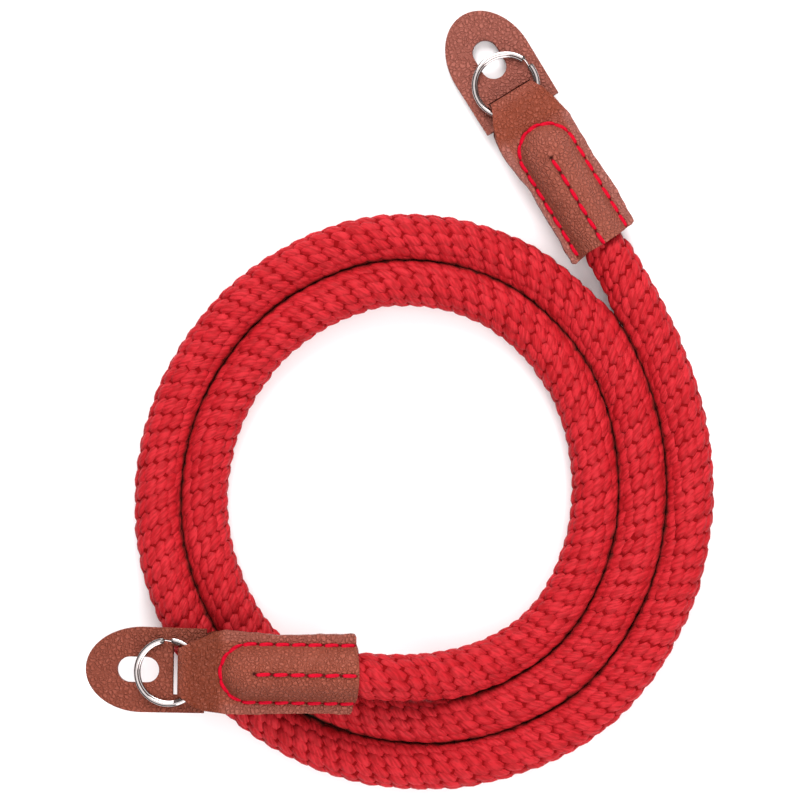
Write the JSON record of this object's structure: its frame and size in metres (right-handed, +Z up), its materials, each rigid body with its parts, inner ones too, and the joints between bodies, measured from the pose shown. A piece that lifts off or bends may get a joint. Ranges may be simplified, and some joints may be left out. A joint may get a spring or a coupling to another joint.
{
  "type": "coiled rope camera strap",
  "caption": "Braided rope camera strap laid in a flat coil, with a sewn leather sleeve, a leather guard and a split ring on each end.",
  "frame": {"origin": "centre of the two leather ends' box, on the floor that the strap lies on", "axes": "+Z up from the floor, +Y towards the far leather end, +X to the right as seen from above"},
  "size_m": [0.1451, 0.1816, 0.0239],
  "materials": {
    "rope": "soft solid braid with a light sheen along its strands",
    "leather": "reddish brown pebbled leather with darker cut edges",
    "nickel": "bright nickel plate on flat wire",
    "thread": "thick waxed thread"
  },
  "bodies": {
    "root": {"rope": "rope", "sleeve_lower": "leather", "guard_lower": "leather", "split_ring_lower": "nickel", "sleeve_upper": "leather", "guard_upper": "leather", "split_ring_upper": "nickel"}
  },
  "joints": []
}
